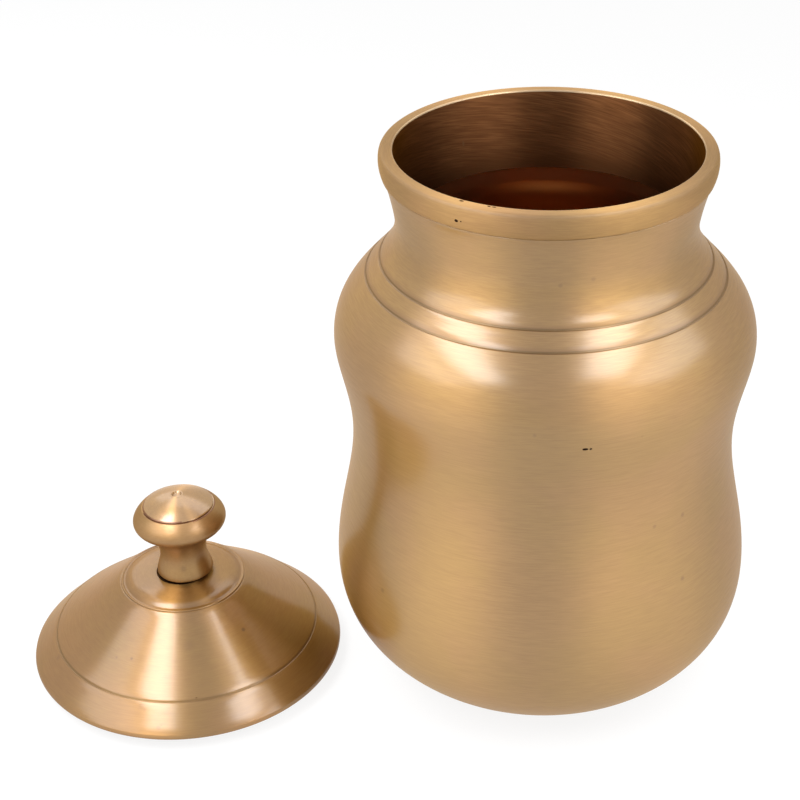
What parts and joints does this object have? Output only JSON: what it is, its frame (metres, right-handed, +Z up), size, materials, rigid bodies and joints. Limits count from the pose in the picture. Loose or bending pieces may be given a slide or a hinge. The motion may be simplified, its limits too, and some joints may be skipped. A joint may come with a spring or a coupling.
{
  "type": "ghee pot with a loose lid",
  "caption": "Round-bellied brass jar with a waisted side, wide shoulder, short neck and thick lip; its conical lid with a mushroom knob stands beside it and lifts off.",
  "frame": {"origin": "on the jar's axis, in the plane of the flat foot it stands on", "axes": "+Z up along the jar's axis; the lid stands beside the jar towards -X; the picture is taken from -Y, a little to the lid's side and from above"},
  "size_m": [0.1948, 0.1092, 0.1496],
  "materials": {
    "turned_brass": "cast, then turned to a fine satin line; dull and darker in the cast hollow",
    "fixing_brass": "machined, slightly tarnished"
  },
  "bodies": {
    "pot": {"pot_body": "turned_brass"},
    "lid": {"lid_shell": "turned_brass", "lid_knob": "turned_brass", "knob_washer": "fixing_brass", "knob_screw": "fixing_brass"}
  },
  "joints": [
    {"name": "lid_lift", "type": "slide", "parent": "pot", "child": "lid", "axis": [0, 0, 1], "range_m": [0, 0.18]}
  ]
}
